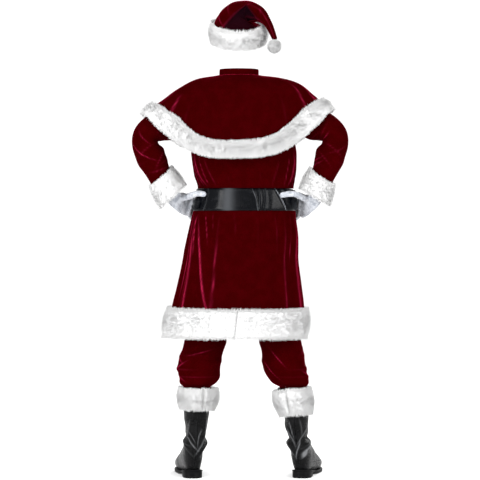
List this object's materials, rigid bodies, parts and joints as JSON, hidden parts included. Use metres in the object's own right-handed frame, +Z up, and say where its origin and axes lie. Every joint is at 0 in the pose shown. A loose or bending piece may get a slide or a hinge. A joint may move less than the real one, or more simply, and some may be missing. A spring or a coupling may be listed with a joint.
{
  "type": "santa suit",
  "caption": "Red velvet coat with shoulder cape, belt, trousers, hat, gloves and boot tops, trimmed in white fur, worn with hands on hips.",
  "frame": {"origin": "middle of the coat's neck base, where the wearer's shoulders hold the suit up", "axes": "+Z up; -Y is the way the suit faces; +X is the wearer's left"},
  "size_m": [0.8364, 0.4462, 1.8486],
  "materials": {
    "velvet": "dark red velvet",
    "fur": "white long-pile plush",
    "vinyl": "glossy black",
    "boot_leather": "wrinkled black, half gloss",
    "rubber": "matt black",
    "cotton": "white knit cotton",
    "brass": "polished"
  },
  "bodies": {
    "root": {"belt_buckle": "brass", "belt_end": "vinyl", "belt_prong": "brass", "belt_strap": "vinyl", "boot_fur_left": "fur", "boot_fur_right": "fur", "boot_sole_left": "rubber", "boot_sole_right": "rubber", "boot_upper_left": "boot_leather", "boot_upper_right": "boot_leather", "cape_back": "velvet", "cape_front_left": "velvet", "cape_front_right": "velvet", "cape_fur_back": "fur", "cape_fur_front_left": "fur", "cape_fur_front_right": "fur", "coat_back": "velvet", "coat_front_left": "velvet", "coat_front_right": "velvet", "collar": "velvet", "cuff_fur_left": "fur", "cuff_fur_right": "fur", "front_placket": "velvet", "glove_left": "cotton", "glove_right": "cotton", "hat_crown": "velvet", "hat_fur": "fur", "hat_pompom": "fur", "hem_fur_left": "fur", "hem_fur_right": "fur", "sleeve_back_left": "velvet", "sleeve_back_right": "velvet", "sleeve_front_left": "velvet", "sleeve_front_right": "velvet", "trouser_leg_left": "velvet", "trouser_leg_right": "velvet", "waistband": "velvet"}
  },
  "joints": []
}
